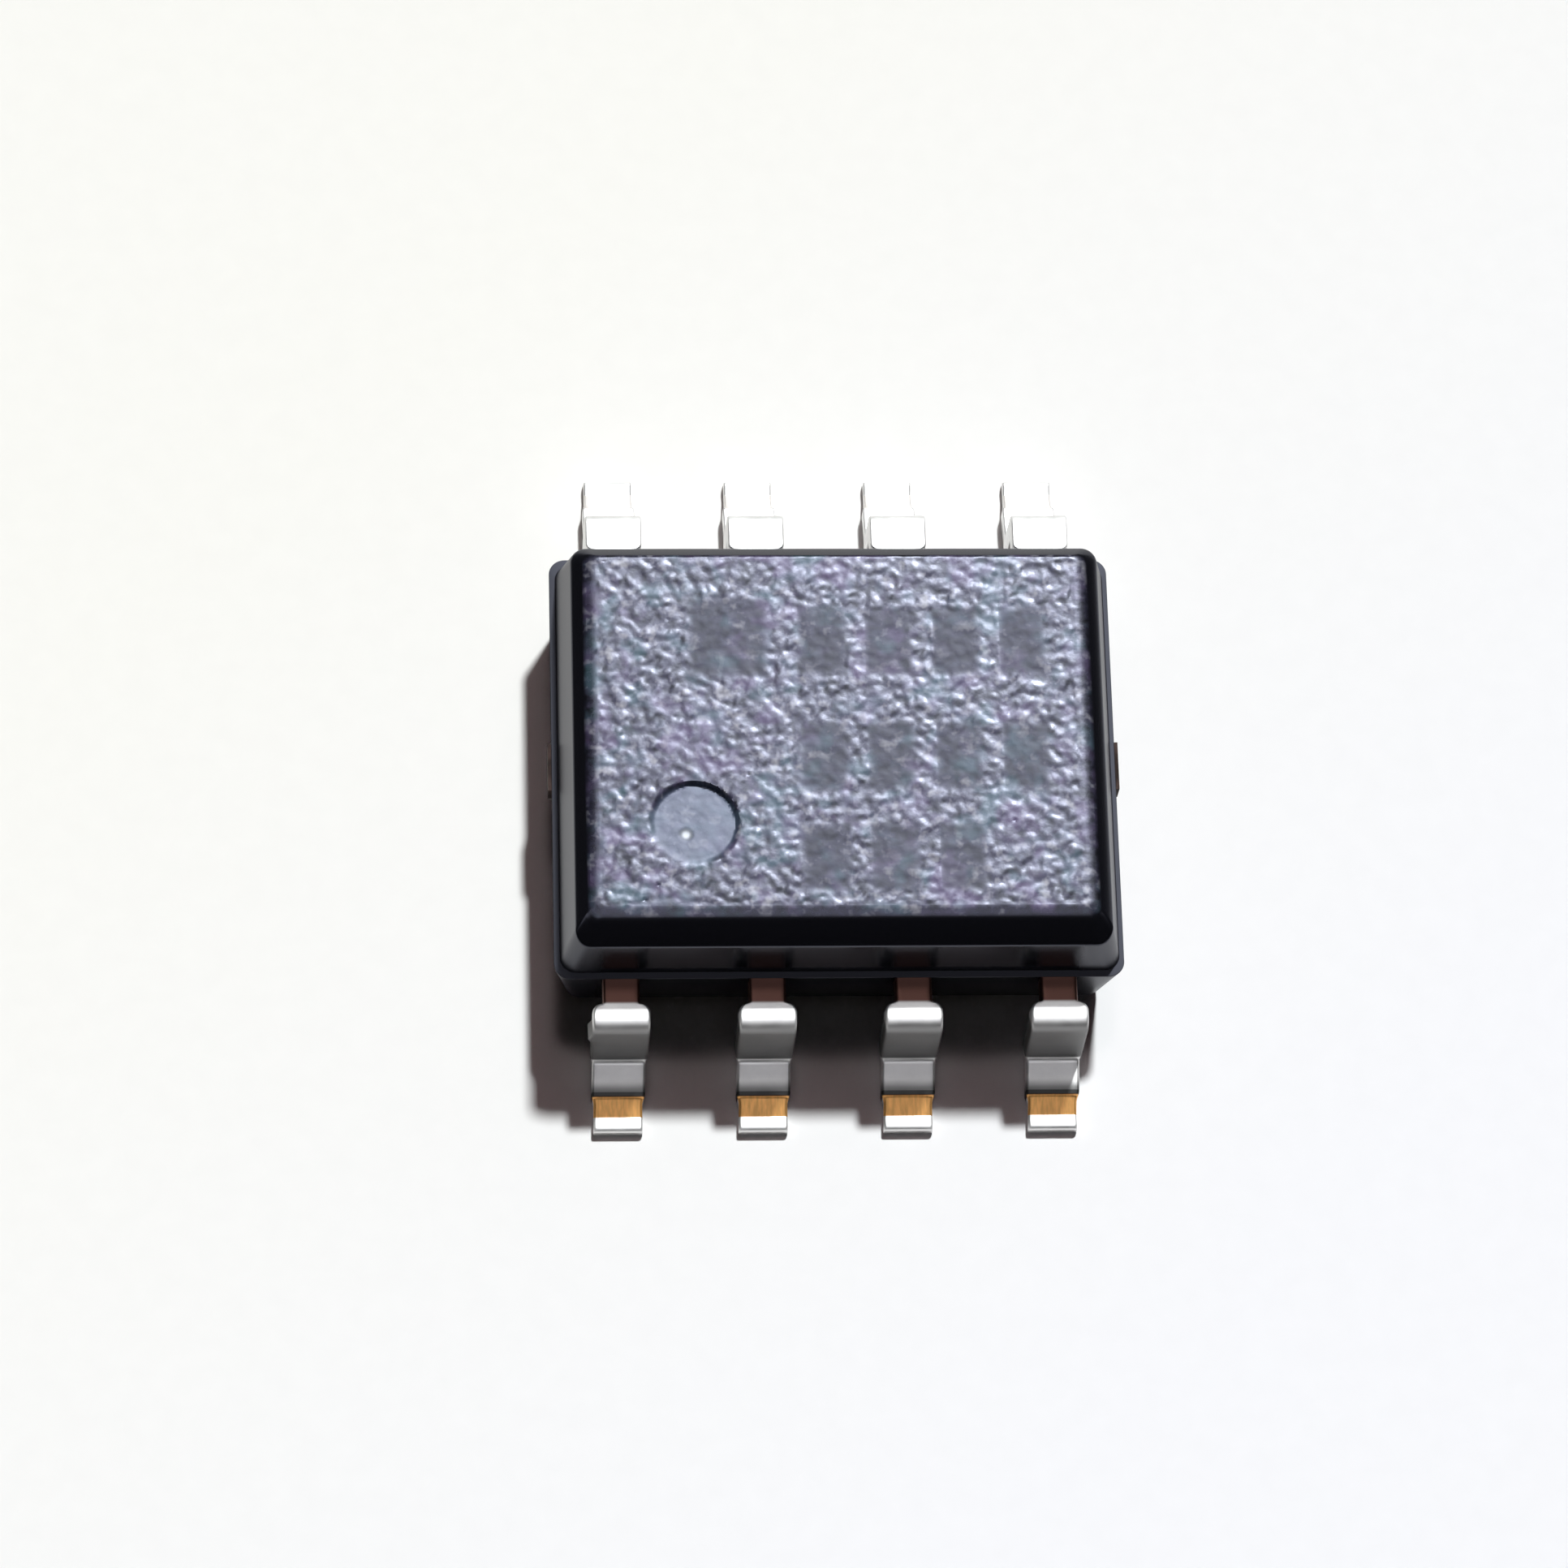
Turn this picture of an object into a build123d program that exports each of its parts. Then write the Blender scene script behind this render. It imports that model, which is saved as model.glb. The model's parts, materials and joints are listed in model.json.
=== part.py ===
from build123d import *
import math
import os

# An eight-lead small-outline timer chip: a moulded body, two rows of formed leads, and the
# pad, die and bond wires sealed inside. X runs along the rows, Y across them, and Z up from
# the seating plane under the feet, with the origin at the middle of the part. Lead 1 is at
# the front left, seen from above, and the count runs anticlockwise. Millimetres.

# ---- lead rows ----
lead_pitch = 1.27
leads_per_row = 4
lead_thickness = 0.20
lead_width = 0.47
neck_width = 0.32  # where a lead leaves the mould
neck_length = 0.22
dam_bar_width = 0.50  # stubs left where the dam bar was sheared away
dam_bar_length = 0.20
plan_chamfer = 0.05  # how each change of width is eased, along the lead
shoulder_reach = 0.37  # mould wall to the corner of the shoulder, along the lead's middle
lead_slope = 89.0  # degrees, of the leg from the horizontal
inner_bend_radius = 0.04
outer_bend_radius = 0.14  # the bends are struck tight, so this is less than the metal round them
foot_length = 0.74  # corner of the heel to the tip of the toe
toe_lip_length = 0.135  # tongue left under the sheared face
toe_lip_height = 0.10
toe_bevel_run = 0.185  # sheared face, along the lead
toe_shear_step = 0.035  # upright start of the sheared face
toe_width = 0.43

# ---- moulded body ----
end_margin = 0.58  # centre of an end lead to the end of the body
body_width = 3.94
standoff = 0.15  # seating plane to the underside
lower_height = 0.77  # underside to the parting line
upper_height = 0.74  # parting line to the top face
parting_step_width = 0.08  # ledge at the parting line, where the upper half is the smaller
end_draft_inset = 0.10  # lean of each short end, in either half
side_draft_inset = 0.10  # lean of each long side
corner_radius = 0.22  # upright corners
top_corner_radius = 0.10
edge_bevel_height = 0.10  # of the bevel round the top
end_bevel_width = 0.13  # its width at the short ends
side_bevel_width = 0.09
front_bevel_width = 0.135  # steeper and wider along the side of leads 1 to 4

# ---- pin-one dimple ----
dimple_diameter = 0.75
dimple_depth = 0.06
dimple_fillet = 0.03
dimple_from_end = 1.205  # centre, in from the left end
dimple_from_front = 1.16
ejector_mark_diameter = 0.11
ejector_mark_height = 0.02
ejector_mark_offset = (-0.07, -0.09)  # from the dimple's centre

# ---- die pad and its tie bars ----
pad_length = 2.30
pad_width = 2.10
pad_downset = 0.20  # the pad's top lies this far under the leads' top
tie_bar_width = 0.44
tie_bar_stub = 0.03  # cut end, proud of the mould
tie_ramp_start = 0.12  # pad edge to the foot of the ramp
tie_ramp_run = 0.28

# ---- inner fingers ----
finger_gap = 0.20  # clearance from a finger to the pad and to the tie bars
finger_cover = 0.15  # mould between a finger's broad part and the side wall
middle_finger_width = 0.80
finger_corner = 0.10

# ---- die and its bond ----
die_length = 1.40
die_width = 1.25
die_thickness = 0.28
attach_thickness = 0.03
attach_margin = 0.08  # squeeze-out all round the die

# ---- bond wires ----
wire_diameter = 0.03  # across the corners of its section
wire_sides = 8  # facets that stand for the round of a wire and of its ball
ball_diameter = 0.08
ball_height = 0.02
bond_inset = 0.12  # bond to the edge of the die or of the finger
middle_bond_pitch = 0.60  # between the two middle bonds on one side of the die
end_bond_pitch = 0.50  # between the two bonds on one short end of the die
end_finger_bond_offset = 0.75  # landing on an end finger, from the part's middle along Y
loop_height = 0.20  # over the die
loop_radius = 0.07
stitch_length = 0.08
stitch_radius = 0.10
stitch_sink = 0.0075  # how deep the wire is pressed on the finger

# ---- heights and places that follow ----
parting = standoff + lower_height
lead_top = parting  # the frame lies in the lower mould half
lead_bottom = lead_top - lead_thickness
top = parting + upper_height
bevel_line = top - edge_bevel_height
pad_top = lead_top - pad_downset
pad_bottom = pad_top - lead_thickness
attach_top = pad_top + attach_thickness
die_top = attach_top + die_thickness

row_half = (leads_per_row - 1) * lead_pitch / 2
body_length = 2 * (row_half + end_margin)
wall = body_width / 2
shoulder_corner = wall + shoulder_reach
heel_corner = shoulder_corner + lead_bottom / math.tan(math.radians(lead_slope))
toe_tip = heel_corner + foot_length
toe_cut = toe_tip - toe_lip_length - toe_bevel_run
corner_shift = lead_thickness / 2 * math.tan(math.radians(lead_slope) / 2)

# Each row's own plane: local X along the row, local Y outward from the body.
row_planes = {
    "front": Plane(origin=(0, 0, 0), x_dir=(-1, 0, 0), z_dir=(0, 0, 1)),
    "rear": Plane.XY,
}


def side_view(row):
    """Plane seen along a row: local X outward from the body, local Y up."""
    return Plane(origin=(0, 0, 0), x_dir=row.y_dir, z_dir=row.x_dir)


def bond_places(x):
    """Bond on the die and landing on the finger, in the row's plane, for the lead at x."""
    side = math.copysign(1, x)
    if abs(x) > row_half - lead_pitch / 2:
        on_die = (side * (die_length / 2 - bond_inset), end_bond_pitch / 2)
        on_finger = (side * (pad_length / 2 + finger_gap + bond_inset), end_finger_bond_offset)
    else:
        on_die = (side * middle_bond_pitch / 2, die_width / 2 - bond_inset)
        on_finger = (x, pad_width / 2 + finger_gap + bond_inset)
    return on_die, on_finger


def finger_outline(x):
    """Corners of the broad part of the finger inside the mould, for the lead at x."""
    side = math.copysign(1, x)
    root = wall - finger_cover
    if abs(x) > row_half - lead_pitch / 2:
        outer = abs(x) + neck_width / 2
        neck_inner = abs(x) - neck_width / 2
        inner = pad_length / 2 + finger_gap
        end = tie_bar_width / 2 + finger_gap
        taper = root - (neck_inner - inner) - finger_corner
        corners = [
            (outer, root),
            (outer, end),
            (inner + finger_corner, end),
            (inner, end + finger_corner),
            (inner, taper),
            (neck_inner, root),
        ]
        return [(side * px, py) for px, py in corners]
    half = middle_finger_width / 2
    end = pad_width / 2 + finger_gap
    return [
        (x - half, end),
        (x + half, end),
        (x + half, root - finger_corner),
        (x + half - finger_corner, root),
        (x - half + finger_corner, root),
        (x - half, root - finger_corner),
    ]


# Plan of a lead outside the mould and of its neck just inside, its middle on the local Y axis.
with BuildSketch() as lead_plan:
    with BuildLine():
        stub_start = wall + neck_length
        stub_end = stub_start + dam_bar_length
        Polyline(
            (0, wall - finger_cover),
            (neck_width / 2, wall - finger_cover),
            (neck_width / 2, stub_start),
            (dam_bar_width / 2, stub_start + plan_chamfer),
            (dam_bar_width / 2, stub_end),
            (lead_width / 2, stub_end + plan_chamfer),
            (lead_width / 2, toe_cut),
            (toe_width / 2, toe_cut + plan_chamfer),
            (toe_width / 2, toe_tip),
            (0, toe_tip),
        )
        mirror(about=Plane.YZ)
    make_face()


def make_lead(row, x):
    """One gull-wing lead and its inner finger: the side view cut to the plan view."""
    inner_end = tie_bar_width / 2
    with BuildPart() as lead:
        with BuildSketch(side_view(row)):
            with BuildLine():
                FilletPolyline(
                    (inner_end, lead_top),
                    (shoulder_corner + corner_shift, lead_top),
                    (heel_corner + corner_shift, lead_thickness),
                    (toe_cut, lead_thickness),
                    radius=[outer_bend_radius, inner_bend_radius],
                )
                Polyline(
                    (toe_cut, lead_thickness),
                    (toe_cut, lead_thickness - toe_shear_step),
                    (toe_tip - toe_lip_length, toe_lip_height),
                    (toe_tip, toe_lip_height),
                    (toe_tip, 0),
                )
                FilletPolyline(
                    (toe_tip, 0),
                    (heel_corner - corner_shift, 0),
                    (shoulder_corner - corner_shift, lead_bottom),
                    (inner_end, lead_bottom),
                    radius=[outer_bend_radius, inner_bend_radius],
                )
                Line((inner_end, lead_bottom), (inner_end, lead_top))
            make_face()
        extrude(amount=body_length / 2, both=True)
        with BuildSketch(row):
            with Locations((x, 0)):
                add(lead_plan.sketch)
            with BuildLine():
                Polyline(*finger_outline(x), close=True)
            make_face()
        extrude(amount=lead_top, mode=Mode.INTERSECT)
    return lead.part


def make_bond_wire(row, x):
    """Ball on the die, a loop in one upright plane, and a stitch pressed on the finger."""
    on_die, on_finger = bond_places(x)
    start = row.from_local_coords(Vector(*on_die, die_top))
    along = row.from_local_coords(Vector(*on_finger, die_top)) - start
    loop_plane = Plane(origin=start, x_dir=along, z_dir=along.cross(Vector(0, 0, 1)))
    stitch_level = lead_top + wire_diameter / 2 - stitch_sink - die_top
    with BuildPart() as wire:
        with BuildLine(loop_plane) as loop:
            FilletPolyline(
                (0, ball_height / 2),
                (0, loop_height),
                (along.length - stitch_length, stitch_level),
                (along.length, stitch_level),
                radius=[loop_radius, stitch_radius],
            )
        with BuildSketch(Plane(origin=loop.line @ 0, z_dir=loop.line % 0)):
            RegularPolygon(wire_diameter / 2, wire_sides)
        sweep()
        with BuildSketch(Plane(origin=start)):
            RegularPolygon(ball_diameter / 2, wire_sides)
        extrude(amount=ball_height)
        split(bisect_by=Plane.XY.offset(lead_top), keep=Keep.TOP)
    return wire.part


# ---- leads and bond wires, numbered anticlockwise from the front left ----
leads = []
bond_wires = []
for row_name in ("front", "rear"):
    for place in range(leads_per_row):
        local_x = row_half - place * lead_pitch
        leads.append(make_lead(row_planes[row_name], local_x))
        bond_wires.append(make_bond_wire(row_planes[row_name], local_x))

# ---- die pad: a plate, with a tie bar that ramps up to the frame's level at each end ----
with BuildPart() as die_pad:
    with BuildSketch(Plane.XY.offset(pad_bottom)):
        Rectangle(pad_length, pad_width)
    extrude(amount=lead_thickness)
    with BuildSketch(Plane.XZ):
        ramp_foot = pad_length / 2 + tie_ramp_start
        ramp_head = ramp_foot + tie_ramp_run
        tie_end = body_length / 2 + tie_bar_stub
        with BuildLine():
            Polyline(
                (0, pad_bottom),
                (ramp_foot, pad_bottom),
                (ramp_head, lead_bottom),
                (tie_end, lead_bottom),
                (tie_end, lead_top),
                (ramp_head, lead_top),
                (ramp_foot, pad_top),
                (0, pad_top),
            )
            mirror(about=Plane.YZ)
        make_face()
    extrude(amount=tie_bar_width / 2, both=True)

# ---- adhesive and die ----
with BuildPart() as die_attach:
    with BuildSketch(Plane.XY.offset(pad_top)):
        RectangleRounded(die_length + 2 * attach_margin, die_width + 2 * attach_margin, attach_margin)
    extrude(amount=attach_thickness)

with BuildPart() as die:
    with BuildSketch(Plane.XY.offset(attach_top)):
        Rectangle(die_length, die_width)
    extrude(amount=die_thickness)

# ---- moulded body: two drafted halves, bevels, dimple, and the room of what it seals ----
with BuildPart() as mould_body:
    drafted_length = body_length - 2 * end_draft_inset
    drafted_width = body_width - 2 * side_draft_inset
    upper_length = body_length - 2 * parting_step_width
    upper_width = body_width - 2 * parting_step_width
    shoulder_length = drafted_length - 2 * parting_step_width
    shoulder_width = drafted_width - 2 * parting_step_width
    top_length = shoulder_length - 2 * end_bevel_width
    top_width = shoulder_width - 2 * side_bevel_width
    with BuildSketch(Plane.XY.offset(standoff)):
        RectangleRounded(drafted_length, drafted_width, corner_radius)
    with BuildSketch(Plane.XY.offset(parting)):
        RectangleRounded(body_length, body_width, corner_radius)
    loft(ruled=True)
    with BuildSketch(Plane.XY.offset(parting)):
        RectangleRounded(upper_length, upper_width, corner_radius)
    with BuildSketch(Plane.XY.offset(bevel_line)):
        RectangleRounded(shoulder_length, shoulder_width, corner_radius)
    with BuildSketch(Plane.XY.offset(top)):
        RectangleRounded(top_length, top_width, top_corner_radius)
    loft(ruled=True)
    with BuildSketch(Plane.YZ):
        bevel_edge = -(shoulder_width / 2 - front_bevel_width)
        with BuildLine():
            Polyline(
                (bevel_edge, top),
                (bevel_edge - upper_height, top - upper_height),
                (bevel_edge - upper_height, top),
                close=True,
            )
        make_face()
    extrude(amount=body_length / 2, both=True, mode=Mode.SUBTRACT)

    dimple_x = -(body_length / 2 - dimple_from_end)
    dimple_y = -(wall - dimple_from_front)
    dimple_floor = top - dimple_depth
    with BuildSketch(Plane(origin=(dimple_x, dimple_y, 0), x_dir=(1, 0, 0), z_dir=(0, -1, 0))):
        with BuildLine():
            FilletPolyline(
                (dimple_diameter / 2, top),
                (dimple_diameter / 2, dimple_floor),
                (0, dimple_floor),
                radius=dimple_fillet,
            )
            Polyline((0, dimple_floor), (0, top), (dimple_diameter / 2, top))
        make_face()
    revolve(axis=Axis((dimple_x, dimple_y, 0), (0, 0, 1)), mode=Mode.SUBTRACT)
    mark_shift_x, mark_shift_y = ejector_mark_offset
    with Locations((dimple_x + mark_shift_x, dimple_y + mark_shift_y, dimple_floor)):
        Cone(
            ejector_mark_diameter / 2,
            ejector_mark_diameter / 4,
            ejector_mark_height,
            align=(Align.CENTER, Align.CENTER, Align.MIN),
        )

    for sealed in [die_pad.part, die_attach.part, die.part, *leads, *bond_wires]:
        add(sealed, mode=Mode.SUBTRACT)

# ---- one STEP file for each piece ----
mould_body.part.label = "mould_body"
die_pad.part.label = "die_pad"
die_attach.part.label = "die_attach"
die.part.label = "die"
for number, lead in enumerate(leads, 1):
    lead.label = f"lead_{number}"
for number, wire in enumerate(bond_wires, 1):
    wire.label = f"bond_wire_{number}"

os.makedirs("parts", exist_ok=True)
for piece in [mould_body.part, die_pad.part, die_attach.part, die.part, *leads, *bond_wires]:
    export_step(piece, f"parts/{piece.label}.step")
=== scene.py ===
import json
import math
from collections import namedtuple
from functools import partial

import bpy
import numpy as np
from bpy.props import FloatProperty, FloatVectorProperty, IntProperty, PointerProperty
from bpy.types import Operator, Panel, PropertyGroup
from mathutils import Matrix, Vector


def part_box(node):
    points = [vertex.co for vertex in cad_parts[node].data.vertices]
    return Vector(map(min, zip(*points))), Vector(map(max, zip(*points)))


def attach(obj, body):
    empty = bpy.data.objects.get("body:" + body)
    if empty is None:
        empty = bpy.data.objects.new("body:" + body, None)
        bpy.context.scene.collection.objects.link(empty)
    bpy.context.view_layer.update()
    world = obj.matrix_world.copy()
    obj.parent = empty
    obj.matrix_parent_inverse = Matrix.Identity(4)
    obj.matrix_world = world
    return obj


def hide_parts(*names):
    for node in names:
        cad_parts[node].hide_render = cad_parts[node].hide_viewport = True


bl_info = {
    "name": "Timer chip",
    "version": (1, 0, 0),
    "blender": (4, 5, 0),
    "location": "View3D > Sidebar > Timer chip",
    "description": "Dresses an eight-lead moulded timer chip: mould, tinned leads, inner parts and studio",
    "category": "Add Mesh",
}

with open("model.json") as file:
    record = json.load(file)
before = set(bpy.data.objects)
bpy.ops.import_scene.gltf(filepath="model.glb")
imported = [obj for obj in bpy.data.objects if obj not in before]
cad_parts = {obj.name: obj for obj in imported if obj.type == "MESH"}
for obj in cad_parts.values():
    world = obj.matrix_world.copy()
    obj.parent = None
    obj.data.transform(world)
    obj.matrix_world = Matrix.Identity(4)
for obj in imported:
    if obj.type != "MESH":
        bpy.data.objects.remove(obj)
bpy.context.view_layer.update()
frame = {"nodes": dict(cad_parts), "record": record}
MM = 0.001
mould_low, mould_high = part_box("mould_body")
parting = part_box("lead_1")[1].z
feet = {mount["name"]: mount["pos_m"] for mount in frame["record"]["mounts"]}
lead_count = sum(name.startswith("lead_") for name in frame["nodes"])


# ---- sizes and colours that a user would change ----


def length(name, description, millimetres):
    """A length in metres, given in millimetres."""
    return FloatProperty(
        name=name, description=description, default=millimetres * MM, unit="LENGTH", precision=6
    )


def number(name, description, default, **limits):
    """A plain number."""
    return FloatProperty(name=name, description=description, default=default, **limits)


def cells(name, description, default):
    """A count of grid cells."""
    return IntProperty(name=name, description=description, default=default, min=20)


def colour(name, description, red, green, blue):
    """A linear colour."""
    return FloatVectorProperty(
        name=name, description=description, default=(red, green, blue), subtype="COLOR", min=0.0, max=1.0
    )


def angle(name, description, degrees):
    """An angle in radians, given in degrees."""
    return FloatProperty(
        name=name, description=description, default=math.radians(degrees), subtype="ANGLE", unit="ROTATION"
    )


class MouldShape(PropertyGroup):
    """Form of the moulded body. Its overall size comes from the frame."""

    step_width: length("Parting step", "Ledge along the rows at the parting line", 0.06)
    end_step_width: length("End step", "The same ledge at the short ends", 0.05)
    ledge_rise: length("Ledge rise", "Flash by which the ledge stands over the leads", 0.004)
    half_shift: length("Half shift", "How far the upper mould half sits towards lead 4", 0.006)
    end_draft_inset: length("End draft", "Lean of each short end in either half", 0.115)
    side_draft_inset: length("Side draft", "Lean of each long side in either half", 0.10)
    front_draft_inset: length("Front draft", "Lean of the upper half over leads 1 to 4", 0.035)
    corner_radius: length("Corner radius", "Radius of the upright corners", 0.14)
    top_corner_radius: length("Top corner radius", "Corner radius of the top face", 0.09)
    bevel_height: length("Bevel height", "Bevel round the top face, in height", 0.10)
    end_bevel_width: length("End bevel", "Bevel along the short ends, in plan", 0.125)
    side_bevel_width: length("Side bevel", "Bevel along leads 5 to 8, in plan", 0.11)
    front_bevel_width: length("Front bevel", "Steeper bevel along leads 1 to 4, in plan", 0.175)
    end_ease: length("End ease", "Rounding of the top face into the end bevels", 0.09)
    front_ease: length("Front ease", "Rounding of the top face into the front bevel", 0.07)
    rear_ease: length("Rear ease", "Rounding of the top face into the rear bevel", 0.02)
    edge_ease: length("Edge ease", "Rounding of the other convex edges", 0.018)
    step_ease: length("Step ease", "Rounding of the parting step", 0.008)
    dimple_diameter: length("Dimple diameter", "Pin-one dimple", 0.80)
    dimple_depth: length("Dimple depth", "Depth of the pin-one dimple", 0.06)
    dimple_wall: length("Dimple wall", "Width of the dimple's steepest rim, in plan", 0.030)
    dimple_tilt: number("Dimple tilt", "Share of its depth lost to the near left", 0.95, min=0.0, max=1.0)
    dimple_from_end: length("Dimple from end", "Dimple's centre, in from the left end", 1.205)
    dimple_from_front: length("Dimple from front", "Dimple's centre, in from the front", 1.16)
    nub_offset_x: length("Ejector mark, X", "From the dimple's centre", -0.07)
    nub_offset_y: length("Ejector mark, Y", "From the dimple's centre", -0.09)
    nub_diameter: length("Ejector mark diameter", "Small pit in the dimple floor", 0.15)
    nub_depth: length("Ejector mark depth", "Small pit in the dimple floor", 0.012)
    grain_fine: length("Finest grain", "Shortest wave of the eroded texture", 0.115)
    grain_coarse: length("Coarsest grain", "Longest wave of the eroded texture", 0.40)
    grain_depth: length("Grain depth", "Spread of the eroded texture's height", 0.0030)
    pit_depth: length("Pit depth", "Depth of the odd pits left by trapped air", 0.012)
    mark_depth: length("Mark depth", "Depth that the laser mark is burnt", 0.002)
    cells_along: cells("Cells along", "Grid cells along the top", 276)
    cells_across: cells("Cells across", "Grid cells across the top", 214)


class LeadShape(PropertyGroup):
    """Form of a gull-wing lead. Its place and reach come from the frame."""

    thickness: length("Thickness", "Thickness of the lead frame", 0.20)
    width: length("Width", "Width of the leg and foot", 0.47)
    neck_width: length("Neck width", "Width where the lead leaves the mould", 0.32)
    neck_length: length("Neck length", "Mould to the dam-bar stub", 0.22)
    rear_neck_length: length("Rear neck length", "The same on leads 5 to 8, cut longer", 0.10)
    stub_width: length("Stub width", "Width over the sheared dam-bar stubs", 0.50)
    stub_length: length("Stub length", "Length of the dam-bar stubs, in plan", 0.20)
    stub_ease: length("Stub ease", "Rounding of the stubs' corners, in plan", 0.06)
    shoulder_reach: length("Shoulder reach", "Mould to the shoulder's corner", 0.37)
    slope: angle("Slope", "Leg from the horizontal", 87.0)
    shoulder_radius: length("Shoulder radius", "Outside radius of the shoulder", 0.12)
    heel_radius: length("Heel radius", "Outside radius of the heel", 0.14)
    inner_radius: length("Inner radius", "Inside radius of each bend", 0.05)
    foot_drop: length("Foot drop", "How much lower the foot's upper side is at the shear", 0.018)
    edge_radius_top: length("Upper edge radius", "Rolled edge from the punch", 0.026)
    rear_edge_radius: length("Rear edge radius", "Upper edge of leads 5 to 8", 0.018)
    edge_radius_bottom: length("Lower edge radius", "Sharper edge on the burr side", 0.012)
    toe_lip_length: length("Toe lip length", "Tongue left under the sheared face", 0.135)
    toe_lip_height: length("Toe lip height", "Thickness of that tongue", 0.10)
    toe_bevel_run: length("Sheared face", "Length of the bare sheared face", 0.165)
    toe_step: length("Toe step", "Drop where the shear broke through, from the full thickness", 0.05)
    toe_roll: length("Toe roll", "How far the shear drew the foot's end down", 0.007)
    toe_width: length("Toe width", "Width of the toe", 0.43)
    pad_length: length("Pad length", "Die pad along the rows, which the fingers clear", 2.30)
    tie_bar_width: length("Tie bar width", "Tie bar, which the end fingers clear", 0.44)
    finger_cover: length("Finger cover", "Mould over a finger's root", 0.15)
    finger_gap: length("Finger gap", "Clearance of the fingers", 0.20)
    middle_finger_width: length("Middle finger", "Width of the two middle fingers", 0.80)
    finger_corner: length("Finger corner", "Corner cut of the fingers", 0.10)
    burr: length("Burr", "Burr on the leg of lead 1", 0.035)
    toe_drift: length("Toe drift", "How far the toes are drawn towards lead 1", 0.015)


class Finish(PropertyGroup):
    """Colours of the finishes."""

    mould: colour("Mould", "Black epoxy", 0.005, 0.005, 0.007)
    skin: colour("Mould skin", "Resin-rich skin of the eroded top", 0.040, 0.038, 0.072)
    # Partly glass filler, partly painted glints: the pale specks stand in for the lamp's glints on the eroded
    # top.
    speck_glint: colour("Filler speck", "Glass filler near the surface", 0.34, 0.34, 0.37)
    # Painted sheen: the cool and violet patches stand in for the tinted gloss of the eroded top.
    cool_sheen: colour("Cool patches", "Cool patches of the eroded top", 0.10, 0.19, 0.23)
    violet_sheen: colour("Violet patches", "Violet patches of the eroded top", 0.16, 0.115, 0.24)
    dimple: colour("Dimple floor", "Smoother skin in the pin-one dimple", 0.07, 0.10, 0.15)
    # Painted highlight: the pale colour of the ejector mark stands in for the glint on its pit.
    nub: colour("Ejector mark", "Pale resin in the ejector mark", 0.62, 0.66, 0.70)
    mould_glint: colour("Mould gloss", "Tint of the mould's gloss", 0.79, 0.81, 1.0)
    mark: colour("Laser mark", "Burnt epoxy", 0.030, 0.030, 0.036)
    tin: colour("Tin", "Tin plating", 0.90, 0.89, 0.88)
    copper: colour("Sheared copper", "Fresh copper at the toes", 1.0, 0.52, 0.17)
    brown: colour("Aged copper", "Browned copper at the necks", 0.105, 0.052, 0.042)
    adhesive: colour("Die adhesive", "Silver-filled adhesive", 0.55, 0.55, 0.53)
    silicon: colour("Silicon", "Die under its glass", 0.16, 0.17, 0.22)
    gold: colour("Gold", "Bond wires", 0.95, 0.68, 0.26)


class Studio(PropertyGroup):
    """Floor, lamp and camera."""

    floor: colour("Floor", "Pale floor", 0.900, 0.892, 0.850)
    floor_cool: colour("Floor, cool side", "Pale floor on the side of lead 4", 0.885, 0.885, 0.905)
    floor_half: length("Floor half width", "Half the side of the floor", 600.0)
    lamp: colour("Lamp", "Colour of the lamp", 0.955, 0.995, 1.0)
    lamp_strength: number("Lamp strength", "Watts per square metre", 4.0)
    lamp_elevation: angle("Lamp elevation", "Lamp over the floor", 52.8)
    lamp_azimuth: angle("Lamp azimuth", "Lamp round from straight behind the part", 18.3)
    lamp_spread: angle("Lamp spread", "Angle that the lamp fills", 4.6)
    glow_strength: number("Glow strength", "Brightness at the lamp's middle", 1.3)
    glow_spread: angle("Glow spread", "Angle at which the glow has fallen to a third", 12.0)
    glow: colour("Glow", "Colour of the glows that reaches dull surfaces", 1.0, 0.61, 0.64)
    window_strength: number("Window strength", "Brightness of the high window", 17.0)
    window_azimuth: angle("Window azimuth", "High window round from straight behind the part", -4.0)
    window_elevation: angle("Window elevation", "High window over the floor", 70.2)
    window_spread: angle("Window spread", "Angle at which the high window has fallen to a third", 3.5)
    room: colour("Room", "Dim room round the part", 0.004, 0.003, 0.003)
    panel: colour("Panel", "Pale panel overhead, which reflections show", 0.95, 0.95, 1.0)
    panel_strength: number("Panel strength", "Brightness of the panel", 1.5)
    panel_elevation: angle("Panel elevation", "Panel's middle over the floor, in front", 78.0)
    panel_spread: angle("Panel spread", "Panel's half width, seen from the part", 20.0)
    wall: colour("Studio wall", "Low pale wall round the floor", 0.96, 0.96, 0.96)
    wall_angle: angle("Wall angle", "Height of the studio wall, seen from the part", 4.0)
    camera_azimuth: angle("Camera azimuth", "Camera round from straight in front", -10.007)
    camera_elevation: angle("Camera elevation", "Camera over the floor", 68.743)
    camera_roll: angle("Camera roll", "Turn about the line of sight", 9.158)
    camera_distance: length("Camera distance", "Camera to its target", 56.74)
    camera_lens: number("Lens", "Focal length, in millimetres", 148.07)
    target_x: length("Target, X", "Point that the camera looks at", -0.436)
    target_y: length("Target, Y", "Point that the camera looks at", -0.118)
    target_z: length("Target, Z", "Point that the camera looks at", 0.8)


# ---- surfaces ----

Section = namedtuple("Section", "low high radius height front_height")
CORNER_CELLS = 7  # grid cells over a corner's radius
SHARP_ANGLE = math.radians(35.0)


def grid_lines(low, high, radius, count):
    """Places of the grid lines from low to high: even steps over each end's radius and even steps between."""
    return np.concatenate([
        np.linspace(low, low + radius, CORNER_CELLS, endpoint=False),
        np.linspace(low + radius, high - radius, count - 2 * CORNER_CELLS, endpoint=False),
        np.linspace(high - radius, high, CORNER_CELLS + 1),
    ])


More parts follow.
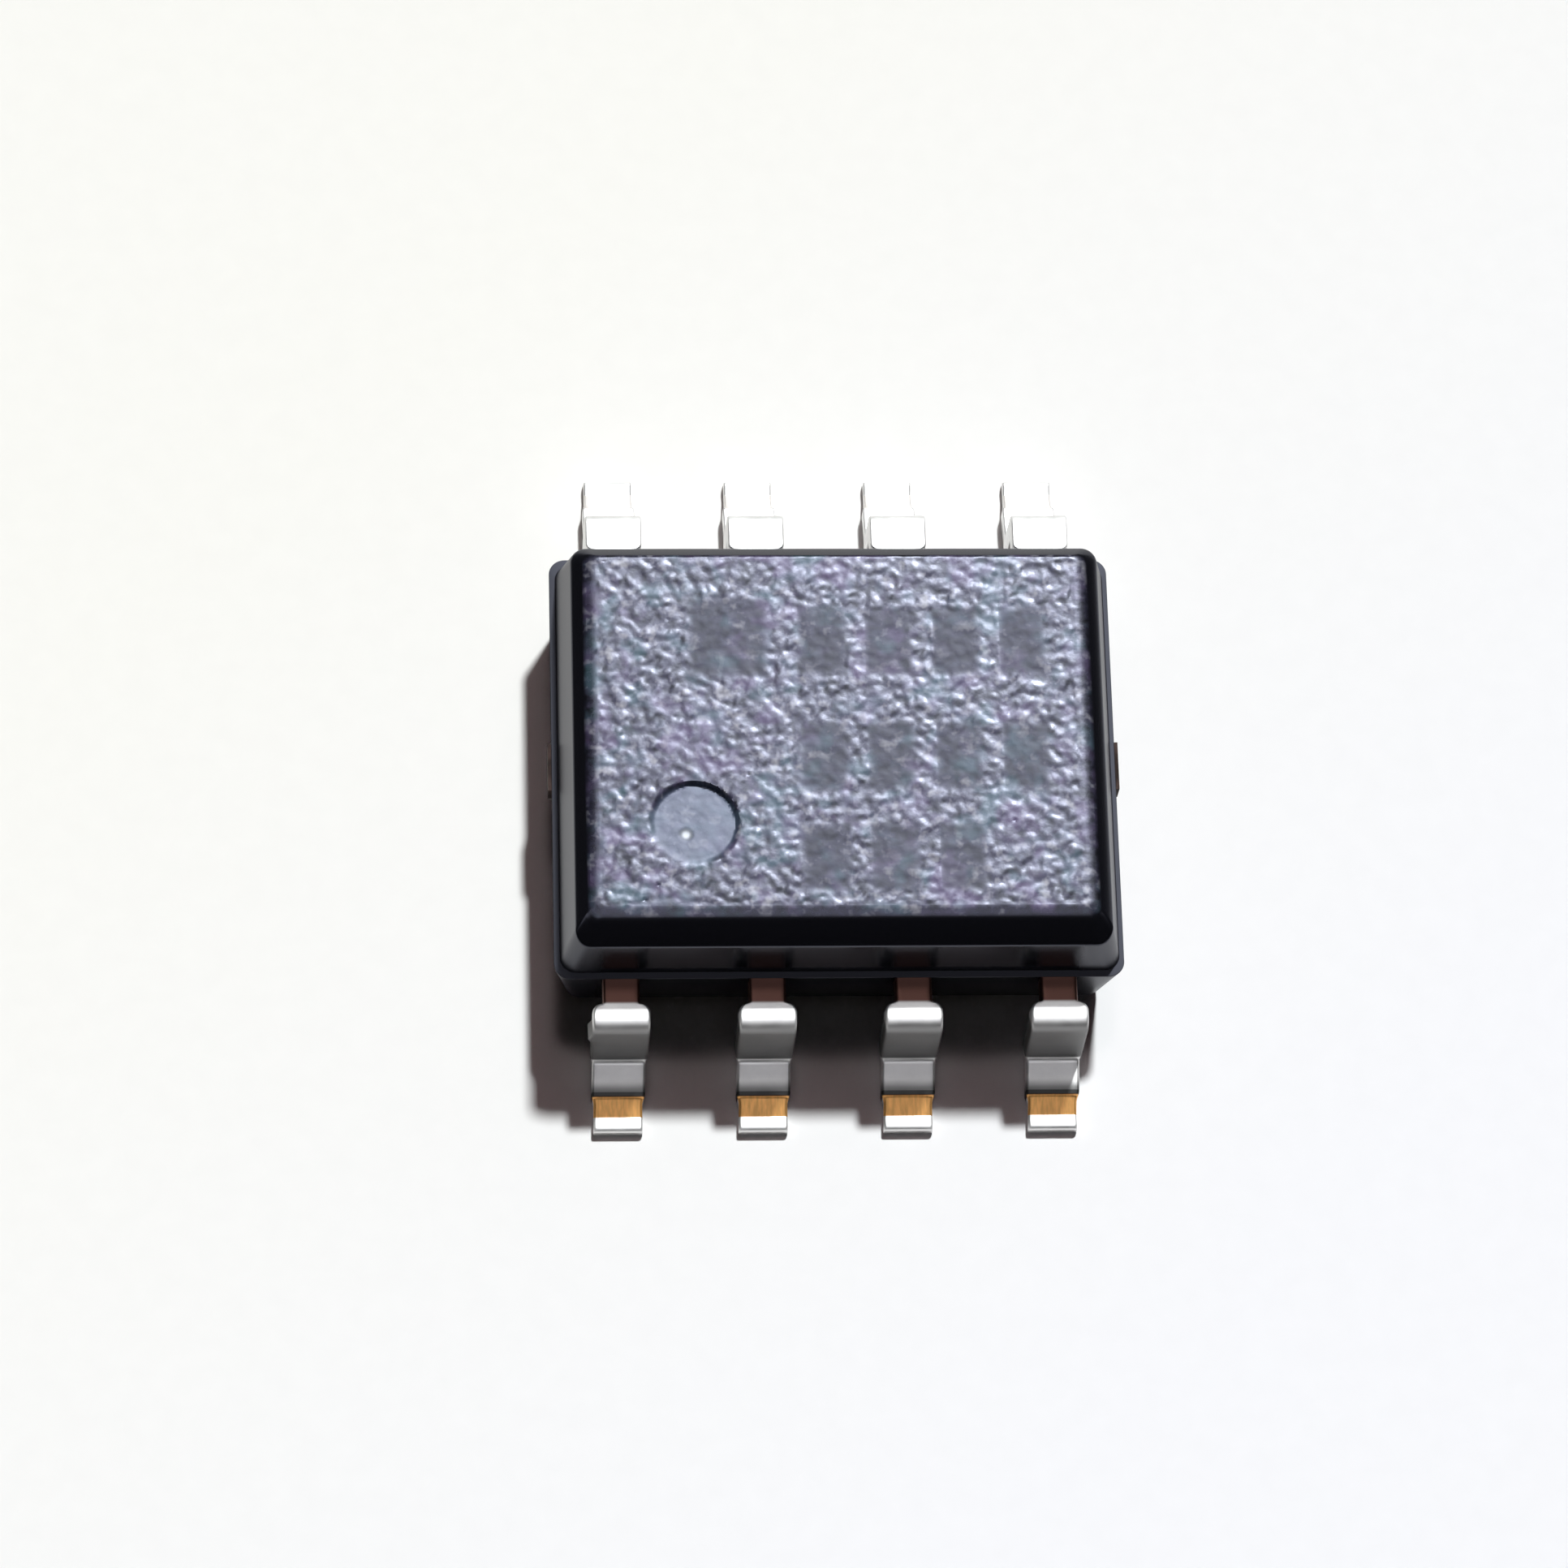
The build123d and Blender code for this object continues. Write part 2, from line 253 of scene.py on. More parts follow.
def rounded_plan(section, counts):
    """X and Y of a grid over a rounded rectangle. In each corner square a point that lies (a, b) from the
    centre of the arc goes to max(a, b) / hypot(a, b) of its distance, which turns the square's edge
    into the arc and leaves the rest of the grid straight."""
    low, high, radius = section[:3]
    lines = [grid_lines(low[k], high[k], radius, counts[k]) for k in (0, 1)]
    x, y = np.meshgrid(*lines, indexing="ij")
    centre_x = np.clip(x, low[0] + radius, high[0] - radius)
    centre_y = np.clip(y, low[1] + radius, high[1] - radius)
    away_x, away_y = x - centre_x, y - centre_y
    distance = np.hypot(away_x, away_y)
    farthest = np.maximum(abs(away_x), abs(away_y))
    scale = np.divide(farthest, distance, out=np.ones_like(distance), where=distance > 0)
    return centre_x + away_x * scale, centre_y + away_y * scale


def rim(grid):
    """Values along a grid's edge, anticlockwise from its first corner."""
    return np.concatenate([grid[:, 0], grid[-1, 1:], grid[-2::-1, -1], grid[0, -2:0:-1]])


def smooth(share_along):
    """3t² - 2t³, with t held between 0 and 1."""
    t = np.clip(share_along, 0.0, 1.0)
    return t * t * (3.0 - 2.0 * t)


def fade(distance, start, run):
    """0 up to the start and 1 past the run, smooth between. Start and run are in millimetres."""
    return smooth((distance - start * MM) / (run * MM))


def section_ring(section, counts):
    """Points round a section. The height goes smoothly from height to front_height round the two corners
    at low Y."""
    x, y = (rim(values) for values in rounded_plan(section, counts))
    front = smooth((section.low[1] + section.radius - y) / section.radius)
    z = section.height + (section.front_height - section.height) * front
    return np.column_stack([x, y, z])


def eased_rings(rings, eases, steps):
    """Rings down a wall with each inner corner eased, by one distance or one for each point. Corner B,
    between A and C, becomes the points (1-t)² P + 2t(1-t) B + t² Q, where P and Q lie at the ease's
    distance from B towards A and C."""
    eased = []
    for above, corner, below, ease in zip(rings, rings[1:], rings[2:], eases):
        ends = []
        for side in (above, below):
            step = side - corner
            run = np.linalg.norm(step, axis=1, keepdims=True)
            ends.append(corner + step * np.minimum(ease / run, 0.5 if side is below else 1.0))
        for t in np.linspace(0.0, 1.0, steps + 1):
            eased.append((1 - t) ** 2 * ends[0] + 2 * t * (1 - t) * corner + t**2 * ends[1])
    return eased


def band_noise(shape, spacing, fine, coarse, seed):
    """Random field of unit spread: white noise whose waves shorter than fine and longer than coarse are
    taken out by the share exp(-(f fine)²) (1 - exp(-(f coarse)²)) at each frequency f."""
    white = np.random.default_rng(seed).standard_normal(shape)
    frequency = np.hypot(
        np.fft.fftfreq(shape[0], spacing)[:, None], np.fft.rfftfreq(shape[1], spacing)[None, :]
    )
    kept = np.exp(-((frequency * fine) ** 2)) * (1.0 - np.exp(-((frequency * coarse) ** 2)))
    field = np.fft.irfft2(np.fft.rfft2(white) * kept, s=shape)
    return field / field.std()


def spread_over(field, section, x, y):
    """Values at points of a section of a field that covers it evenly: each point takes the four nearest
    values, weighted by their closeness."""
    near_corner, shares = [], []
    for k, values in enumerate((x, y)):
        reach = section.high[k] - section.low[k]
        along = (values - section.low[k]) / reach * (field.shape[k] - 1)
        near_corner.append(np.clip(np.floor(along).astype(int), 0, field.shape[k] - 2))
        shares.append(along - near_corner[k])
    (i, j), (a, b) = near_corner, shares
    near = field[i, j] * (1 - b) + field[i, j + 1] * b
    far = field[i + 1, j] * (1 - b) + field[i + 1, j + 1] * b
    return near * (1 - a) + far * a


def grid_faces(across, down):
    """Corners of the faces between neighbouring points of a grid, numbered down first."""
    index = np.arange(across * down).reshape(across, down)
    corners = [index[:-1, :-1], index[1:, :-1], index[1:, 1:], index[:-1, 1:]]
    return np.stack(corners, axis=-1).reshape(-1, 4)


def ring_faces(upper, lower):
    """Faces between two rings of point numbers that run anticlockwise, seen from above."""
    return np.column_stack([upper, lower, np.roll(lower, -1), np.roll(upper, -1)])


def put(name, data):
    """An object of the data, at the origin, in the scene."""
    made = bpy.data.objects.new(name, data)
    bpy.context.scene.collection.objects.link(made)
    return made


def build_piece(name, points, faces, attributes, material, nodes):
    """A closed piece at the origin, which rides on the part and stands for its CAD nodes."""
    mesh = bpy.data.meshes.new(name)
    mesh.from_pydata(points.tolist(), [], faces)
    mesh.update()
    for label, values in attributes.items():
        made = mesh.attributes.new(label, "FLOAT", "POINT")
        made.data.foreach_set("value", np.ascontiguousarray(values, np.float32))
    mesh.shade_smooth()
    mesh.set_sharp_from_angle(angle=SHARP_ANGLE)
    mesh.materials.append(material)
    piece = put(name, mesh)
    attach(piece, "root")
    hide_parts(*nodes)


# ---- finishes ----

# Roughness of the mould's walls, parting step, dimple and laser mark, and of the frame where it is bare
WALL_ROUGHNESS, STEP_ROUGHNESS, DIMPLE_ROUGHNESS = 0.18, 0.60, 0.48
MARK_ROUGHNESS, BARE_ROUGHNESS = 0.55, 0.42
EPOXY_IOR = 1.6
PAINTED_SHADE_LEVEL = 0.06  # brightness of the tin under the painted shade on the leg, over the droop and at the torn line


def new_material(name):
    """A node material, its tree, and the place on its object in metres."""
    material = bpy.data.materials.new(name)
    material.use_nodes = True
    tree = material.node_tree
    return material, tree, tree.nodes.new("ShaderNodeTexCoord").outputs["Object"]


def feed(tree, socket, value):
    """Links a socket to another one, or sets its value. A colour of three numbers is made opaque."""
    if isinstance(value, bpy.types.NodeSocket):
        tree.links.new(value, socket)
    elif socket.type == "RGBA" and len(value) == 3:
        socket.default_value = (*value, 1.0)
    else:
        socket.default_value = value


def finished(material, values):
    """The material, with each named input of its shader linked or set."""
    tree = material.node_tree
    shader = next(node for node in tree.nodes if node.type == "BSDF_PRINCIPLED")
    for key, value in values.items():
        feed(tree, shader.inputs[key], value)
    return material


def add_node(tree, kind, values, **settings):
    """A node of a kind, with its settings, and its inputs linked or set."""
    node = tree.nodes.new(kind)
    for key, value in settings.items():
        setattr(node, key, value)
    for key, value in values.items():
        feed(tree, node.inputs[key], value)
    return node


def noise(tree, place, grain, detail=2.0, roughness=0.5):
    """Noise whose features are about one grain across."""
    values = {"Vector": place, "Scale": 1.0 / grain, "Detail": detail, "Roughness": roughness}
    return add_node(tree, "ShaderNodeTexNoise", values).outputs["Fac"]


def streaks(tree, place, scale, grain):
    """Noise stretched out along the axes whose scale is small."""
    drawn_out = add_node(tree, "ShaderNodeMapping", {"Vector": place, "Scale": scale})
    return noise(tree, drawn_out.outputs["Vector"], grain)


def remap(tree, value, from_low, from_high, to_low=0.0, to_high=1.0):
    """A value taken from one range to another and held inside it."""
    keys = ("Value", "From Min", "From Max", "To Min", "To Max")
    values = dict(zip(keys, (value, from_low, from_high, to_low, to_high)))
    return add_node(tree, "ShaderNodeMapRange", values).outputs["Result"]


def calculate(tree, operation, first, second):
    """One sum of two values."""
    node = add_node(tree, "ShaderNodeMath", {0: first, 1: second}, operation=operation)
    return node.outputs["Value"]


def product(tree, first, second):
    """Two values multiplied."""
    return calculate(tree, "MULTIPLY", first, second)


def combine(tree, operation, first, second):
    """One sum of two vectors or colours."""
    node = add_node(tree, "ShaderNodeVectorMath", {0: first, 1: second}, operation=operation)
    return node.outputs["Value" if operation == "DOT_PRODUCT" else "Vector"]


def blend_colour(tree, factor, first, second):
    """A mix of two colours. The colour sockets are the node's seventh and eighth."""
    node = add_node(tree, "ShaderNodeMix", {0: factor, 6: first, 7: second}, data_type="RGBA")
    return node.outputs[2]


def blend_value(tree, factor, first, second):
    """A mix of two values."""
    node = add_node(tree, "ShaderNodeMix", {0: factor, "A": first, "B": second}, data_type="FLOAT")
    return node.outputs[0]


def relief(tree, height, distance):
    """Normals of a height that is worth so many metres."""
    values = {"Height": height, "Distance": distance, "Strength": 1.0}
    return add_node(tree, "ShaderNodeBump", values).outputs["Normal"]


def attribute(tree, name):
    """A value kept on the mesh."""
    return add_node(tree, "ShaderNodeAttribute", {}, attribute_name=name).outputs["Fac"]


def scaled(shade, factor):
    """A colour made darker or lighter."""
    return [factor * part for part in shade]


def mould_material(finish):
    """Black epoxy: an eroded top with pale specks, partly glass filler and partly painted glints, and violet
    and cool patches of painted sheen, a dull laser mark, a smoother dimple with its ejector mark painted pale
    as a highlight, and polished bevels and walls round a dull parting step."""
    material, tree, place = new_material("mould_epoxy")
    grain, mark, dimple, nub, ledge = (
        attribute(tree, name) for name in ("grain", "mark", "dimple", "nub", "ledge")
    )
    specks = noise(tree, place, 0.12 * MM, roughness=0.55)
    skin_share = product(tree, remap(tree, specks, 0.36, 0.60), grain)
    plain = blend_colour(tree, skin_share, finish.mould, finish.skin)
    # Pale specks: partly glass filler, partly painted glints on the eroded top.
    speck_glint_share = product(tree, remap(tree, specks, 0.56, 0.74, 0.0, 0.9), grain)
    speck_glinted = blend_colour(tree, speck_glint_share, plain, finish.speck_glint)
    # Painted sheen: violet and cool patches stand in for the tint of the top's gloss.
    hue = remap(tree, noise(tree, place, 0.30 * MM, 1.0), 0.42, 0.58)
    tint = blend_colour(tree, hue, finish.violet_sheen, finish.cool_sheen)
    sheen_patches = remap(tree, noise(tree, place, 0.22 * MM), 0.45, 0.64, 0.0, 0.5)
    sheen_tinted = blend_colour(tree, product(tree, sheen_patches, grain), speck_glinted, tint)
    # Painted highlight: the ejector mark is painted pale inside the dimple's floor.
    floor = blend_colour(tree, nub, finish.dimple, finish.nub)
    floor_share = calculate(tree, "MAXIMUM", product(tree, dimple, 0.55), nub)
    dished = blend_colour(tree, floor_share, sheen_tinted, floor)
    burnt = remap(tree, streaks(tree, place, (0.25, 1.0, 1.0), 0.09 * MM), 0.40, 0.60, 1.0, 0.45)
    dull = product(tree, product(tree, mark, burnt), 0.62)
    eroded = remap(tree, noise(tree, place, 0.06 * MM), 0.35, 0.65, 0.30, 0.40)
    polished = blend_value(tree, ledge, WALL_ROUGHNESS, STEP_ROUGHNESS)
    roughness = blend_value(tree, dimple, blend_value(tree, grain, polished, eroded), DIMPLE_ROUGHNESS)
    fine = product(tree, noise(tree, place, 0.06 * MM), remap(tree, grain, 0.0, 1.0, 0.15, 1.0))
    return finished(material, {
        "Base Color": blend_colour(tree, dull, dished, finish.mark),
        "Roughness": blend_value(tree, mark, roughness, MARK_ROUGHNESS),
        "IOR": EPOXY_IOR,
        "Specular Tint": finish.mould_glint,
        "Normal": relief(tree, fine, 0.0015 * MM),
    })


def tin_material(finish):
    """Matte tin over the copper frame, with painted shade that darkens it down the leg, over the droop before
    the shear and at the torn line. The frame is bare and brown at the neck and bright at the sheared toe."""
    material, tree, place = new_material("tin_plating")
    browned, sheared, cut, drawn = (
        attribute(tree, name) for name in ("browned", "sheared", "cut", "drawn")
    )
    cloud = remap(tree, noise(tree, place, 0.16 * MM, 3.0), 0.35, 0.65)
    flat_tin = blend_colour(tree, cloud, scaled(finish.tin, 0.9), finish.tin)
    # Painted shade: the tin falls to a few hundredths of its brightness down the leg, over the droop and at
    # the torn line.
    tin = blend_colour(tree, drawn, flat_tin, scaled(finish.tin, PAINTED_SHADE_LEVEL))
    necked = blend_colour(tree, browned, tin, finish.brown)
    shear = remap(tree, streaks(tree, place, (1.0, 0.2, 0.2), 0.03 * MM), 0.35, 0.65)
    torn = blend_colour(tree, shear, scaled(finish.copper, 0.75), finish.copper)
    plated = remap(tree, cloud, 0.0, 1.0, 0.46, 0.54)
    bare = calculate(tree, "MAXIMUM", browned, cut)
    crystals, waves = noise(tree, place, 0.022 * MM), noise(tree, place, 0.12 * MM, 1.0)
    height = calculate(tree, "ADD", crystals, product(tree, waves, 3.0))
    return finished(material, {
        "Base Color": blend_colour(tree, sheared, necked, torn),
        "Metallic": remap(tree, cut, 0.0, 1.0, 1.0, 0.7),
        "Roughness": blend_value(tree, bare, plated, BARE_ROUGHNESS),
        "Normal": relief(tree, height, 0.0004 * MM),
    })


def frame_copper_material(finish):
    """Bare copper alloy of the die pad, very dark brown to nearly black in patches, with faint rolling lines.
    """
    material, tree, place = new_material("frame_copper")
    patch = remap(tree, noise(tree, place, 0.12 * MM, 3.0), 0.35, 0.65)
    return finished(material, {
        "Base Color": blend_colour(tree, patch, scaled(finish.brown, 0.15), scaled(finish.brown, 0.5)),
        "Specular IOR Level": 0.2,
        "Roughness": remap(tree, patch, 0.0, 1.0, 0.75, 0.60),
        "Normal": relief(tree, streaks(tree, place, (0.1, 1.0, 1.0), 0.03 * MM), 0.002 * MM),
    })


def adhesive_material(finish):
    """Silver-filled adhesive: grey paste with bright flakes."""
    material, tree, place = new_material("die_adhesive")
    flakes = add_node(tree, "ShaderNodeTexVoronoi", {"Vector": place, "Scale": 1.0 / (0.02 * MM)})
    bright = remap(tree, flakes.outputs["Distance"], 0.2, 0.5, 1.0, 0.0)
    return finished(material, {
        "Base Color": blend_colour(tree, bright, scaled(finish.adhesive, 0.6), finish.adhesive),
        "Roughness": remap(tree, bright, 0.0, 1.0, 0.7, 0.35),
        "Metallic": 0.3,
        "Normal": relief(tree, bright, 0.002 * MM),
    })


def silicon_material(finish):
    """Silicon under glass: dark fields between thin metal tracks."""
    material, tree, place = new_material("silicon_die")
    values = {"Vector": place, "Scale": 1.0 / (0.16 * MM)}
    blocks = add_node(tree, "ShaderNodeTexVoronoi", values, distance="CHEBYCHEV")
    field = remap(tree, blocks.outputs["Distance"], 0.42, 0.5)
    return finished(material, {
        "Base Color": blend_colour(tree, field, finish.silicon, scaled(finish.silicon, 2.2)),
        "Roughness": remap(tree, field, 0.0, 1.0, 0.12, 0.3),
        "Normal": relief(tree, field, 0.001 * MM),
    })


def gold_material(finish):
    """Gold wire with faint lines from the drawing die."""
    material, tree, place = new_material("gold_wire")
    lines = noise(tree, place, 0.01 * MM)
    return finished(material, {
        "Base Color": blend_colour(tree, lines, scaled(finish.gold, 0.85), finish.gold),
        "Metallic": 1.0,
        "Roughness": remap(tree, lines, 0.3, 0.7, 0.18, 0.3),
        "Normal": relief(tree, lines, 0.0003 * MM),
    })


# ---- moulded body ----

GRAIN_PEAK = 2.2  # highest grain over the grain's mean, in spreads
PIT_LIMIT = 2.6  # spreads past which the bubble field opens a pit
WAVE_SHARE, FOLD_SHARE = 0.8, 0.35  # rounded waves and sharp folds of the grain
BUBBLE_FINE, BUBBLE_COARSE = 0.05 * MM, 0.12 * MM  # waves of the bubble field
BORDER_FADE = (0.0, 0.06)  # border over which the top's relief grows from half to whole
END_FADE = (-0.45, 0.10)  # from the short end, where its wall turns dull
FAR_X, FAR_Y = 0.5, 0.87  # way from the dimple's centre to its deepest side
WAVES_SEED, FOLDS_SEED, BUBBLES_SEED = 11, 12, 13
EASE_STEPS = 4
# Rings after the top face: past the skin's rim, the middles of the eased corners at the bevel's foot and
# at the step's inner edge, and past the middle of the step's outer edge
SKIN_RING, WALL_RING, STEP_RING, STEP_END_RING = 2, 6, 11, 17
END_WALL_LEDGE = 0.45  # share of the step's dullness that the end walls have
MARK_SOFTNESS = 0.10 * MM
# Rows of the mark, in millimetres: start, middle, count of blocks, a block's width and height, and pitch
MARK_ROWS = [(-1.28, 0.93, 1, 0.66, 0.72, 1.0)]
MARK_ROWS += [
    (-0.33, middle, count, 0.39, 0.60, 0.585) for middle, count in ((0.885, 4), (-0.18, 4), (-1.12, 3))
]


def mould_sections(shape):
    """Sections of the body, from the top face's edge down to the underside's."""
    low, high = np.array(mould_low[:2]), np.array(mould_high[:2])
    draft = np.array([shape.end_draft_inset, shape.side_draft_inset])
    shift = np.array([shape.half_shift, 0.0])
    upper = np.array([shape.end_step_width, shape.step_width])
    ledge = parting + shape.ledge_rise
    shoulder = upper + draft
    bevel = np.array([shape.end_bevel_width, shape.side_bevel_width])
    shoulder_height = mould_high.z - shape.bevel_height
    front_lean = shape.side_draft_inset / (shoulder_height - parting)
    front_drop = (shape.front_bevel_width - shape.bevel_height * front_lean) / (1.0 - front_lean)
    top_low = low + shoulder + bevel + shift
    top_low[1] = low[1] + shoulder[1] + shape.front_bevel_width
    shoulder_low = low + shoulder + shift
    shoulder_low[1] = low[1] + upper[1] + shape.front_draft_inset
    top_high = high - shoulder - bevel + shift
    shoulder_high = high - shoulder + shift
    top, radius = mould_high.z - GRAIN_PEAK * shape.grain_depth, shape.corner_radius
    return [
        Section(top_low, top_high, shape.top_corner_radius, top, top),
        Section(shoulder_low, shoulder_high, radius, shoulder_height, mould_high.z - front_drop),
        Section(low + upper + shift, high - upper + shift, radius, ledge, ledge),
        Section(low, high, radius, ledge, ledge),
        Section(low + draft, high - draft, radius, mould_low.z, mould_low.z),
    ]


def mark_share(x, y):
    """1 inside the plain blocks of the laser mark and 0 outside, with a soft edge: three rows of equal
    blocks, and one larger block before the first row."""
    marked = np.zeros_like(x)
    for start, middle, count, width, height, pitch in MARK_ROWS:
        along = x / MM - start
        place = np.clip(np.floor(along / pitch), 0, count - 1)
        across = abs(along - place * pitch - width / 2) - width / 2
        up = abs(y / MM - middle) - height / 2
        inside = 0.5 - np.maximum(across, up) * MM / MARK_SOFTNESS
        marked = np.maximum(marked, smooth(inside))
    return marked


def top_surface(shape, section, counts):
    """Top face: X and Y of a rounded plan, and a height that is the face's less the eroded grain, the odd
    pits and the laser mark, which fade to half at the face's edge, and less the dimple, whose floor
    rises to the near left and holds the ejector mark."""
    x, y = rounded_plan(section, counts)
    centre_x = mould_low.x + shape.dimple_from_end
    centre_y = mould_low.y + shape.dimple_from_front
    radius = shape.dimple_diameter / 2
    spacing = (section.high[0] - section.low[0]) / counts[0]
    away = np.hypot(x - centre_x, y - centre_y)
    pull = np.where(abs(away - radius) < spacing * 0.5, radius / away, 1.0)
    x, y = centre_x + (x - centre_x) * pull, centre_y + (y - centre_y) * pull
    away = np.maximum(np.hypot(x - centre_x, y - centre_y), 0.001 * MM)
    far_side = (FAR_X * (x - centre_x) + FAR_Y * (y - centre_y)) / away
    wall = shape.dimple_wall * (1.0 + 0.9 * (1.0 - far_side))
    in_dimple = smooth((radius - away) / wall)
    shallower = shape.dimple_tilt * 0.5 * (1.0 - far_side * np.minimum(away / radius, 1.0))
    sunk = shape.dimple_depth * (1.0 - shallower)
    waves, folds = (
        band_noise(x.shape, spacing, shape.grain_fine, shape.grain_coarse, seed)
        for seed in (WAVES_SEED, FOLDS_SEED)
    )
    grain = spread_over(np.tanh(WAVE_SHARE * waves) + FOLD_SHARE * abs(folds), section, x, y)
    bubbles = band_noise(x.shape, spacing, BUBBLE_FINE, BUBBLE_COARSE, BUBBLES_SEED)
    pits = np.clip(spread_over(bubbles, section, x, y) - PIT_LIMIT, 0.0, 1.0)
    borders = [x - section.low[0], section.high[0] - x, y - section.low[1], section.high[1] - y]
    inside = 0.5 + 0.5 * fade(np.minimum.reduce(borders), *BORDER_FADE)
    mark = mark_share(x, y)
    grain_share = (1.0 - 0.50 * in_dimple) * (1.0 - 0.2 * mark)
    depth = shape.grain_depth * (GRAIN_PEAK - grain) * grain_share
    depth = depth + shape.pit_depth * pits * (1.0 - in_dimple)
    nub_away = np.hypot(x - centre_x - shape.nub_offset_x, y - centre_y - shape.nub_offset_y)
    nub = smooth(1.3 - 1.3 * nub_away / (shape.nub_diameter / 2))
    relief_depth = depth - GRAIN_PEAK * shape.grain_depth + shape.mark_depth * mark
    z = section.height - inside * relief_depth - in_dimple * (sunk + shape.nub_depth * nub)
    return x, y, np.minimum(z, mould_high.z), {"mark": mark, "dimple": in_dimple, "nub": nub}


def make_mould(shape, finish):
    """The body: a grid over the top face, eased rings down the bevels, walls and parting step, and one
    flat face underneath."""
    counts = (shape.cells_along, shape.cells_across)
    sections = mould_sections(shape)
    top, bottom = sections[0], sections[-1]
    face = top._replace(
        low=top.low + [shape.end_ease, shape.front_ease],
        high=top.high - [shape.end_ease, shape.rear_ease],
        radius=top.radius / 2,
    )
    x, y, z, shares = top_surface(shape, face, counts)
    under = bottom._replace(low=bottom.low + 2 * shape.edge_ease, high=bottom.high - 2 * shape.edge_ease)
    rings = [section_ring(section, counts) for section in [face, *sections, under]]
    top_ease = np.linalg.norm(rings[1] - rings[0], axis=1, keepdims=True)
    eases = [top_ease, shape.edge_ease, shape.step_ease, shape.step_ease, shape.edge_ease]
    walls = eased_rings(rings, eases, EASE_STEPS)[1:] + [rings[-1]]
    points = np.vstack([np.column_stack([x.ravel(), y.ravel(), z.ravel()]), *walls])
    edges = [rim(np.arange(x.size).reshape(x.shape))]
    edges += list(np.arange(x.size, len(points)).reshape(len(walls), -1))
    faces = grid_faces(*x.shape).tolist()
    for upper, lower in zip(edges, edges[1:]):
        faces += ring_faces(upper, lower).tolist()
    faces.append(edges[-1][::-1].tolist())
    skin_end, wall, step, step_end = (
        x.size + len(rings[0]) * k for k in (SKIN_RING, WALL_RING, STEP_RING, STEP_END_RING)
    )
    attributes = {name: np.zeros(len(points)) for name in ("grain", "ledge", *shares)}
    attributes["grain"][: x.size] = 1.0
    attributes["grain"][x.size : skin_end] = 0.5
    attributes["ledge"][wall:] = END_WALL_LEDGE * fade(abs(points[wall:, 0]) - mould_high.x, *END_FADE)
    attributes["ledge"][step:step_end] = 1.0
    for name, values in shares.items():
        attributes[name][: x.size] = values.ravel()
    build_piece("mould_skin", points, faces, attributes, mould_material(finish), ["mould_body"])


# ---- leads ----

# Stations along a lead: in the mould, on the neck, round half a bend, round a bend, down the leg, along
# the foot and over the toe
COVERED, NECK, HALF_BEND, BEND, LEG, FOOT, TOE = 24, 26, 8, 12, 16, 12, 80
COLUMNS, CORNER_STEPS = 8, 4  # points across the lead and steps round each edge of its section
TOE_ZONE = 0.12 * MM  # finer stations begin this far before the shear
NOSE = 0.05 * MM  # radius of the tongue's end
LEG_STEP, TOE_STEP = (-0.02, 0.09), (-0.03, 0.09)  # changes of width, from the stub's end and the shear
TOE_DRIFT = (0.0, 0.6)  # from the shoulder
# Where a lead's finishes and its painted shade change, in millimetres: from the stub, up to the neck; from
# the shoulder and up from the floor, down the leg; from the shear, over the droop, the torn line and back to
# the bare slope
NECK_FADE, SHOULDER_FADE, LEG_FADE = (-0.015, 0.03), (0.0, 0.045), (0.115, 0.05)
DROOP_FADE, TORN_FADE, SLOPE_FADE = (-0.17, 0.13), (-0.045, 0.01), (-0.02, 0.01)
BURR_HEIGHT, BURR_SPREAD = 0.62 * MM, 0.07 * MM
REAR_SHARES = {"browned": 0.10, "sheared": 0.08, "drawn": 0.0}  # of the front leads' brown, copper and painted shade: the rear leads face the lamp, so their necks and sheared faces are painted nearly tin-pale, a painted highlight for its glare, and they get no painted shade
LEG_PAINTED_SHADE, DROOP_PAINTED_SHADE = 0.82, 0.85  # painted shade on the leg and on the droop before the shear


def bend_arc(side, slope, corner, level, radius, turn):
    """Points of the arc that eases the corner between a level run and the leg, for turns from the level.
    Side is 1 at the shoulder, where the lead turns down, and -1 at the heel, where it comes down."""
    out = corner - side * radius * (math.tan(slope / 2) - np.sin(turn))
    return np.column_stack([out, level - side * radius * (1.0 - np.cos(turn))])


def between(first, last, count):
    """Points strictly between two points, evenly spaced."""
    return first + (last - first) * np.linspace(0.0, 1.0, count + 2)[1:-1, None]


def level_run(first, last, level, count):
    """Points along a level run, without its last."""
    return np.column_stack([np.linspace(first, last, count, endpoint=False), np.full(count, level)])


